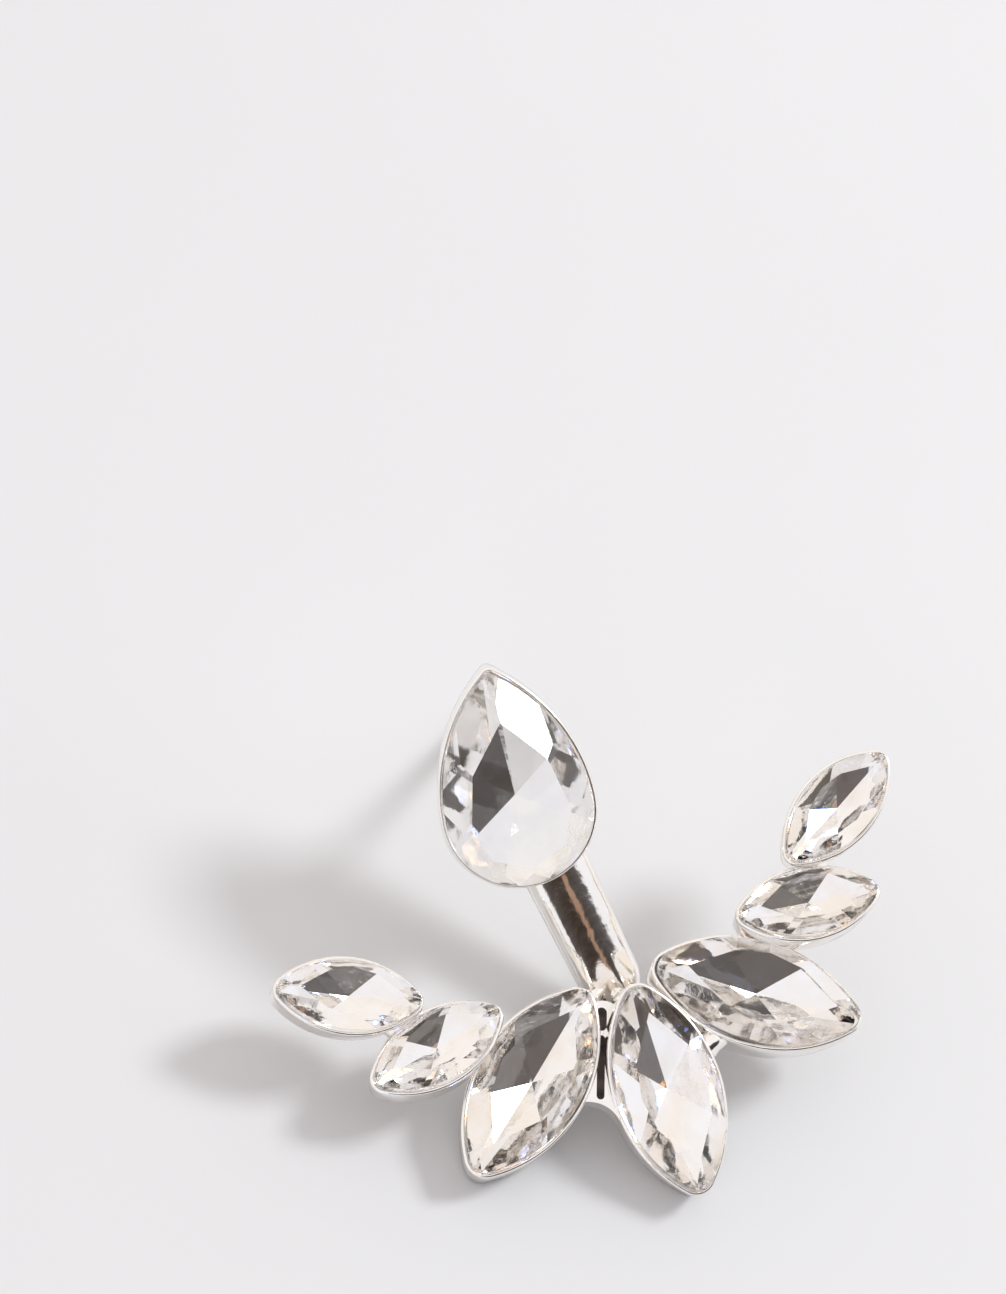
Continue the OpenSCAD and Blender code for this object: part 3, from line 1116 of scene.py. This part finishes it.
@dataclass
class Web:
    """The thin plate between two neighbouring cups, with two slots and an arched outer edge."""

    heart: Vector
    cups: tuple[Cup, Cup]
    top: tuple[float, float, float] = (0.75, 1.5, 0.95)  # middle in X and Y, and radius
    edge: tuple[float, float, float] = (0.35, 7.5, 1.65)
    edge_arc: float = 104.0
    top_steps: int = 12
    edge_steps: int = 16
    slot_steps: int = 10
    low: float = -1.9
    middle: float = -1.2
    high: float = -0.45
    line_start: tuple[float, float] = (0.9, 1.2)
    line_end: tuple[float, float] = (0.22, 5.45)

    SLOTS: ClassVar[tuple[WebSlot, ...]] = (
        WebSlot(start=0.0, length=0.16, radius=0.26), WebSlot(start=0.32, length=0.68, radius=0.2))
    # The dark sheet behind the slots, which carries the painted shade
    SHADE_BACKING: ClassVar[WebSlot] = WebSlot(start=0.0, length=0.93, radius=0.3)

    @property
    def place(self) -> Matrix:
        """The web's own frame, its Y axis midway between the two cups.

        Returns:
            Where that frame lies in the earring, in millimetres.
        """
        seats = [cup.seat for cup in self.cups]
        out = sum(((s.middle - self.heart).normalized() for s in seats), Vector()).normalized()
        side = out.cross(seats[0].up + seats[1].up).normalized()
        return axes_at(self.heart / MM, side, out, side.cross(out))

    def outline(self) -> Outline:
        """Returns the plate's plan, a round top and the arch of its outer edge.

        Returns:
            The outline, whose second arc is hollow.
        """
        top_x, top_y, top_r = self.top
        edge_x, edge_y, edge_r = self.edge
        sweep = math.radians(self.edge_arc)
        return Outline((
            Arc(Vector((top_x, top_y, 0)), top_r, math.pi, math.pi, self.top_steps),
            Arc(Vector((edge_x, edge_y, 0)), edge_r, (sweep - math.pi) / 2, -sweep, self.edge_steps)))

    def slot_outline(self, slot: WebSlot) -> Outline:
        """Returns the outline of one slot on the web's line.

        Args:
            slot: The slot.

        Returns:
            The outline, with two round ends.
        """
        start, end = (Vector((*point, 0)) for point in (self.line_start, self.line_end))
        ends = [start.lerp(end, share) for share in (slot.start + slot.length, slot.start)]
        aim = math.atan2(end.y - start.y, end.x - start.x) - math.pi / 2
        return Outline(tuple(
            Arc(point, slot.radius, aim + half * math.pi, math.pi, self.slot_steps)
            for half, point in enumerate(ends)))

    def build(self, metal: bpy.types.Material, shade_paint: bpy.types.Material) -> None:
        """Cuts the slots through the plate and closes them from behind with a dark sheet of painted shade.

        Args:
            metal: The plating.
            shade_paint: The dark metal behind the slots, painted shade for the shaded gap between the cups.
        """
        plate = prism(self.outline(), self.middle, self.high)
        for slot in self.SLOTS:
            plate = carve(plate, prism(self.slot_outline(slot), self.low, -self.low))
        # The dark backing behind the slots is painted shade
        shade_backing = prism(self.slot_outline(self.SHADE_BACKING), self.low, self.middle)
        for name, bm, material in (("web", plate, metal), ("web_painted_shade", shade_backing, shade_paint)):
            bm.transform(self.place)
            for cup in self.cups:
                bm = cup.clear(bm)
            finish_metal(bm, name, Matrix.Identity(4), material, Body.JACKET)


@dataclass(frozen=True)
class MarquiseSize:
    """The sizes of a marquise cup and of the pavilion in it, in millimetres."""

    length: float
    width: float
    tip_r: float
    depth: float
    pavilion_h: float


class Setting(Enum):
    """The two sizes of marquise setting on the fan."""

    LARGE = MarquiseSize(length=11.0, width=5.7, tip_r=1.05, depth=2.4, pavilion_h=1.02)
    SMALL = MarquiseSize(length=7.6, width=4.0, tip_r=0.78, depth=2.0, pavilion_h=0.72)


@dataclass
class Jacket:
    """The fan of cups and stones with the bar that rises from it."""

    arm_rise: float = 2.6
    centre_droop: float = 15.0
    heart_gap: float = 0.1
    large_bridge_r: float = 0.75
    small_bridge_r: float = 0.55
    lump_rise: float = 0.7
    cups: dict[str, Cup] = field(init=False)
    fan: Matrix = field(init=False)

    # Each stone from left to right, with its setting and how its back leans about X and Y, in degrees
    STONES: ClassVar[dict[str, tuple[Setting, tuple[float, float]]]] = {
        "left_end": (Setting.SMALL, (0.0, 0.0)),
        "left_small": (Setting.SMALL, (0.0, 0.0)),
        "left_large": (Setting.LARGE, (3.0, 2.0)),
        "centre": (Setting.LARGE, (2.5, 0.0)),
        "right_large": (Setting.LARGE, (-1.4, 1.8)),
        "right_small": (Setting.SMALL, (2.6, -2.4)),
        "right_end": (Setting.SMALL, (-2.5, -2.0)),
    }
    WEBBED: ClassVar[tuple[str, str]] = ("left_large", "centre")  # the two cups below the bar's foot
    CROWN_SHARES: ClassVar[tuple[float, ...]] = (-0.75, -0.25, 0.25, 0.75)
    MAIN_TURNS: ClassVar[tuple[float, ...]] = (47, 90, 133)

    def __post_init__(self) -> None:
        """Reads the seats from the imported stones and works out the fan's own frame from them."""
        self.cups = {}
        for label, (setting, _) in self.STONES.items():
            size = setting.value
            plan = Marquise(size.length, size.width, size.tip_r)
            seat = Seat.read(f"{label}_stone")
            self.cups[label] = Cup(f"{label}_cup", seat, plan, Body.JACKET, size.depth)
        first, centre, last = (self.cups[label].seat.middle for label in ("left_end", "centre", "right_end"))
        across = (last - first).normalized()
        reach = (first + last) / 2 - centre
        lift = math.asin(self.arm_rise * MM / reach.length)
        up = across.cross(reach.normalized())
        along = reach.normalized() * math.cos(lift) - up * math.sin(lift)
        droop = math.radians(self.centre_droop)
        heart = Setting.LARGE.value.length / 2 * math.cos(droop) + self.heart_gap
        self.fan = axes_at(centre + along * heart * MM, across, along, across.cross(along))

    def build(self, metal: bpy.types.Material, glass: bpy.types.Material, foil: bpy.types.Material) -> None:
        """Builds the cups, the stones, the bridges, the web and the bar.

        Args:
            metal: The plating.
            glass: The stones' glass.
            foil: The mirror behind them.
        """
        for label, (setting, lean) in self.STONES.items():
            self.cups[label].build(metal)
            self.stone(label, setting, lean).build(glass, foil)
        bar = Bar(self.fan)
        self.bridges(bar.root, metal)
        webbed = tuple(self.cups[label] for label in self.WEBBED)
        # The web's dark backing behind its slots is painted shade
        Web(self.fan.translation, webbed).build(metal, PAINTED_SLOT_SHADE.material())
        bar.build(metal)

    def stone(self, label: str, setting: Setting, lean: tuple[float, float]) -> CutStone:
        """Lays out the cut of one marquise stone.

        Args:
            label: The stone's place on the fan.
            setting: The size of its cup.
            lean: How its back leans about X and Y, in degrees.

        Returns:
            The stone, not yet ground.
        """
        cup = self.cups[label]
        shape = cup.stone_plan()
        sides = [math.pi / 2 + share * shape.side_arc for share in self.CROWN_SHARES]
        mains = [math.radians(angle) for angle in self.MAIN_TURNS]
        crown, pavilion = ((*half, *(angle + math.pi for angle in half)) for half in (sides, mains))
        return CutStone(
            f"{label}_cut_stone", f"{label}_stone", cup.seat, shape, Body.JACKET, crown, pavilion,
            setting.value.pavilion_h, brim_steep=0.0, lower_shares=(), lean=lean)

    def bridges(self, root: Vector, metal: bpy.types.Material) -> bpy.types.Object:
        """Joins the bar's foot to the two cups below it, and all cups but those that the web joins.

        Args:
            root: The point in the bar's foot, in metres.
            metal: The plating.

        Returns:
            The bridges, as one piece.
        """
        rods = []
        labels = list(self.cups)
        for first, second in zip(labels, labels[1:]):
            if (first, second) == self.WEBBED:
                continue
            lump = first == "centre"
            radius = self.large_bridge_r if lump else self.small_bridge_r
            rise = self.lump_rise if lump else 0.0
            pair = self.cups[first], self.cups[second]
            rod = Rod(pair[0].back(rise), pair[1].back(rise), radius).build()
            for cup in pair:
                rod = cup.clear(rod)
            rods.append(rod)
        for label in self.WEBBED:
            cup = self.cups[label]
            rods.append(cup.clear(Rod(root, cup.back(), self.small_bridge_r).build()))
        return finish_metal(
            gather(rods), "bridges", Matrix.Identity(4), metal, Body.JACKET, Edges.BRIDGED)


@dataclass
class Stud:
    """The pear stone in its cup, with the post behind it, whose levels start in the bar's hole."""

    length: float = 11.3
    width: float = 7.8
    tip_r: float = 0.5
    depth: float = 2.4
    pavilion_h: float = 1.02
    heel_share: float = 0.12
    facets: int = 8
    post_d: float = 0.9
    post_l: float = 14.8
    post_point: float = 0.4
    post_steps: int = 40
    root_d: float = 1.25
    root_end: float = -1.1
    root_slope: float = 0.1
    root_bevel: tuple[float, float] = (0.06, 0.08)  # width and height
    solder: tuple[float, float] = (0.3, 0.25)
    solder_in: float = 0.1  # how deep the solder reaches into the cup's back

    CROWN_SHARES: ClassVar[tuple[float, ...]] = (0.25, 0.75)

    def build(
        self, metal: bpy.types.Material, steel: bpy.types.Material,
        glass: bpy.types.Material, foil: bpy.types.Material,
    ) -> None:
        """Builds the cup, the stone and the post.

        Args:
            metal: The plating.
            steel: The post's steel.
            glass: The stone's glass.
            foil: The mirror behind it.
        """
        seat = Seat.read("pear_stone", pear=True)
        plan = Pear(self.length, self.width, self.tip_r)
        cup = Cup("pear_cup", seat, plan, Body.STUD, self.depth)
        cup.build(metal)
        shape = cup.stone_plan()
        sides = [share * shape.side_arc for share in self.CROWN_SHARES]
        facet = 360 / self.facets
        ends = [math.radians(180 + facet * (k + 0.5)) for k in range(self.facets // 2)]
        crown = (*sides, *(math.pi - a for a in reversed(sides)), *ends)
        mains = tuple(math.radians(facet * k) for k in range(self.facets))
        CutStone(
            "pear_cut_stone", "pear_stone", seat, shape, Body.STUD, crown, mains,
            self.pavilion_h, shift=self.heel_share * seat.width).build(glass, foil)
        self.post(seat, steel)

    def post(self, seat: Seat, steel: bpy.types.Material) -> bpy.types.Object:
        """Turns the post with its blunted end, its thicker root and the solder at the cup.

        Args:
            seat: The pear stone's seat.
            steel: The post's steel.

        Returns:
            The post.
        """
        back = (seat.middle - POST_HOLE).dot(seat.up) / MM - self.depth
        end = back - self.post_l
        thin, root = self.post_d / 2, self.root_d / 2
        bevel_w, bevel_h = self.root_bevel
        solder_w, solder_h = self.solder
        bm = lathe([
            (0, end), (thin / 2, end), (thin, end + self.post_point),
            (thin, self.root_end - self.root_slope),
            (root - bevel_w, self.root_end), (root, self.root_end + bevel_h),
            (root, back - solder_h), (root + solder_w, back + self.solder_in),
            (0, back + self.solder_in)], self.post_steps)
        place = axes_at(POST_HOLE, seat.along.cross(seat.up), seat.along, seat.up)
        return finish_metal(bm, "ear_post", place, steel, Body.STUD, Edges.TURNED)


@dataclass(frozen=True)
class Lamp:
    """A soft rectangular light that faces the earring, its lengths in metres and its power in watts."""

    name: str
    towards: tuple[float, float, float]
    size: tuple[float, float]
    power: float
    colour: Colour
    sparks_only: bool = False
    distance: float = 0.6
    aim_h: float = 0.005

    def build(self) -> bpy.types.Object:
        """Hangs the light, seen through glass alone if it is there only for the sparks.

        Returns:
            The light.
        """
        data = bpy.data.lights.new(self.name, "AREA")
        data.shape = "RECTANGLE"
        data.size, data.size_y = self.size
        data.energy = self.power
        data.color = self.colour
        lamp = add_object(self.name, data)
        out = Vector(self.towards).normalized()
        place = out.to_track_quat("Z", "Y").to_matrix().to_4x4()
        place.translation = out * self.distance + Z_AXIS * self.aim_h
        lamp.matrix_world = place
        lamp.visible_diffuse = not self.sparks_only
        lamp.visible_glossy = not self.sparks_only
        return lamp


@dataclass
class Studio:
    """Floor, light and camera, the camera's place in millimetres and degrees."""

    target: Vector = Vector((2.111, 14.072, 8.361))
    azimuth: float = 44.477
    elevation: float = 54.027
    roll: float = 21.473
    distance: float = 255.484
    focal_px: float = 5000.0
    image_h: float = 1294.0
    film_h: float = 24.0
    clip_start: float = 0.005
    floor_half: float = 1.5
    glossy_bounces: int = 10
    sky_strength: float = 1.12
    room_at: tuple[float, float, float] = (0.06, -0.72, 0.42)
    room_size: tuple[float, float, float] = (0.62, 0.62, 0.43)
    room_fade: tuple[Stop, ...] = ((0.5, (0, 0, 0)), (0.9, (0.07, 0.07, 0.07)), (1.0, (1, 1, 1)))
    room_colours: tuple[Stop, ...] = ((-0.4, (0.032, 0.018, 0.011)), (0.5, (0.042, 0.034, 0.03)))
    wall_colours: tuple[Stop, ...] = ((-0.3, (0.855, 0.85, 0.885)), (0.8, (0.91, 0.855, 0.8)))

    LAMPS: ClassVar[tuple[Lamp, ...]] = (
        Lamp("softbox", (0.62, -0.1, 0.78), (0.14, 0.14), 1.75, (0.95, 0.99, 1.0)),
        Lamp("warm_card", (0.1, -0.68, 0.71), (0.08, 0.2), 0.017, (1, 0.62, 0.42)),
        Lamp("blue_fringe", (0.52, -0.21, 0.83), (0.1, 0.18), 0.55, (0.12, 0.28, 1), sparks_only=True),
        Lamp("orange_fringe", (0.7, 0.02, 0.71), (0.1, 0.18), 0.55, (1, 0.48, 0.12), sparks_only=True))

    def camera(self) -> bpy.types.Object:
        """Sets the camera at the photograph's viewing angle.

        Returns:
            The camera.
        """
        azimuth, elevation, roll = (math.radians(a) for a in (self.azimuth, self.elevation, self.roll))
        flat = math.cos(elevation)
        ahead = Vector((math.sin(azimuth) * flat, math.cos(azimuth) * flat, -math.sin(elevation)))
        level = ahead.cross(Z_AXIS).normalized()
        rise = level.cross(ahead)
        right = level * math.cos(roll) + rise * math.sin(roll)
        up = rise * math.cos(roll) - level * math.sin(roll)
        data = bpy.data.cameras.new("camera")
        data.sensor_fit = "VERTICAL"
        data.sensor_height = self.film_h
        data.lens = self.focal_px / self.image_h * self.film_h
        data.clip_start = self.clip_start
        camera = add_object("camera", data)
        camera.matrix_world = axes_at((self.target - ahead * self.distance) * MM, right, up, -ahead)
        bpy.context.scene.camera = camera
        return camera

    def floor(self) -> bpy.types.Object:
        """Lays the pale floor under the earring.

        Returns:
            The floor.
        """
        bm = bmesh.new()
        bmesh.ops.create_grid(bm, x_segments=2, y_segments=2, size=self.floor_half)
        mesh = bpy.data.meshes.new("floor")
        bm.to_mesh(mesh)
        bm.free()
        mesh.materials.append(FLOOR.material())
        floor = add_object("floor", mesh)
        return floor

    def sky(self) -> None:
        """Surrounds the scene with pale walls, and a dark room on the camera's side."""
        world = bpy.data.worlds.new("studio_walls")
        bpy.context.scene.world = world
        world.use_nodes = True
        tree = world.node_tree
        back = tree.nodes["Background"]
        back.inputs["Strength"].default_value = self.sky_strength
        coords = tree.nodes.new("ShaderNodeTexCoord")
        axes = tree.nodes.new("ShaderNodeSeparateXYZ")
        tree.links.new(coords.outputs["Generated"], axes.inputs["Vector"])
        room = tree.nodes.new("ShaderNodeMapping")
        room.vector_type = "TEXTURE"
        room.inputs["Location"].default_value = self.room_at
        room.inputs["Scale"].default_value = self.room_size
        reach = tree.nodes.new("ShaderNodeVectorMath")
        reach.operation = "LENGTH"
        tree.links.new(coords.outputs["Generated"], room.inputs["Vector"])
        tree.links.new(room.outputs["Vector"], reach.inputs[0])
        mix = tree.nodes.new("ShaderNodeMix")
        mix.data_type = "RGBA"
        tree.links.new(self.ramp(tree, reach.outputs["Value"], self.room_fade), mix.inputs["Factor"])
        tree.links.new(self.axis_ramp(tree, axes.outputs["X"], self.room_colours), mix.inputs["A"])
        tree.links.new(self.axis_ramp(tree, axes.outputs["Y"], self.wall_colours), mix.inputs["B"])
        tree.links.new(mix.outputs["Result"], back.inputs["Color"])

    def axis_ramp(
        self, tree: bpy.types.NodeTree, value: bpy.types.NodeSocket, stops: tuple[Stop, ...],
    ) -> bpy.types.NodeSocket:
        """Adds a ramp along one axis of a direction, from -1 to 1, which a ramp takes from 0 to 1.

        Args:
            tree: The node tree.
            value: The direction's share along the axis.
            stops: The places from -1 to 1 and their colours.

        Returns:
            The colour.
        """
        share = tree.nodes.new("ShaderNodeMath")
        share.operation = "MULTIPLY_ADD"
        share.inputs[1].default_value = 0.5
        share.inputs[2].default_value = 0.5
        tree.links.new(value, share.inputs[0])
        moved = tuple(((place + 1) / 2, colour) for place, colour in stops)
        return self.ramp(tree, share.outputs["Value"], moved)

    def ramp(
        self, tree: bpy.types.NodeTree, value: bpy.types.NodeSocket, stops: tuple[Stop, ...],
    ) -> bpy.types.NodeSocket:
        """Adds a ramp of colours.

        Args:
            tree: The node tree.
            value: The value that it follows.
            stops: Its places from 0 to 1 and their colours.

        Returns:
            The colour.
        """
        ramp = tree.nodes.new("ShaderNodeValToRGB")
        elements = ramp.color_ramp.elements
        for element, (place, colour) in zip(elements, (stops[0], stops[-1])):
            element.position = place
            element.color = (*colour, 1)
        for place, colour in stops[1:-1]:
            elements.new(place).color = (*colour, 1)
        tree.links.new(value, ramp.inputs["Fac"])
        return ramp.outputs["Color"]

    def build(self) -> None:
        """Sets the whole studio."""
        scene = bpy.context.scene
        scene.view_settings.view_transform = "Standard"
        scene.cycles.glossy_bounces = self.glossy_bounces
        self.camera()
        self.floor()
        self.sky()
        for lamp in self.LAMPS:
            lamp.build()


def main() -> None:
    """Builds the studio, the jacket and the stud."""
    logging.basicConfig(level=logging.INFO, format="%(name)s: %(message)s")
    Studio().build()
    metal, steel, glass = (f.material() for f in (PLATING, STEEL, GLASS))
    Jacket().build(metal, glass, FOIL.material())
    Stud().build(metal, steel, glass, PEAR_FOIL.material())


if __name__ == "__main__":
    main()
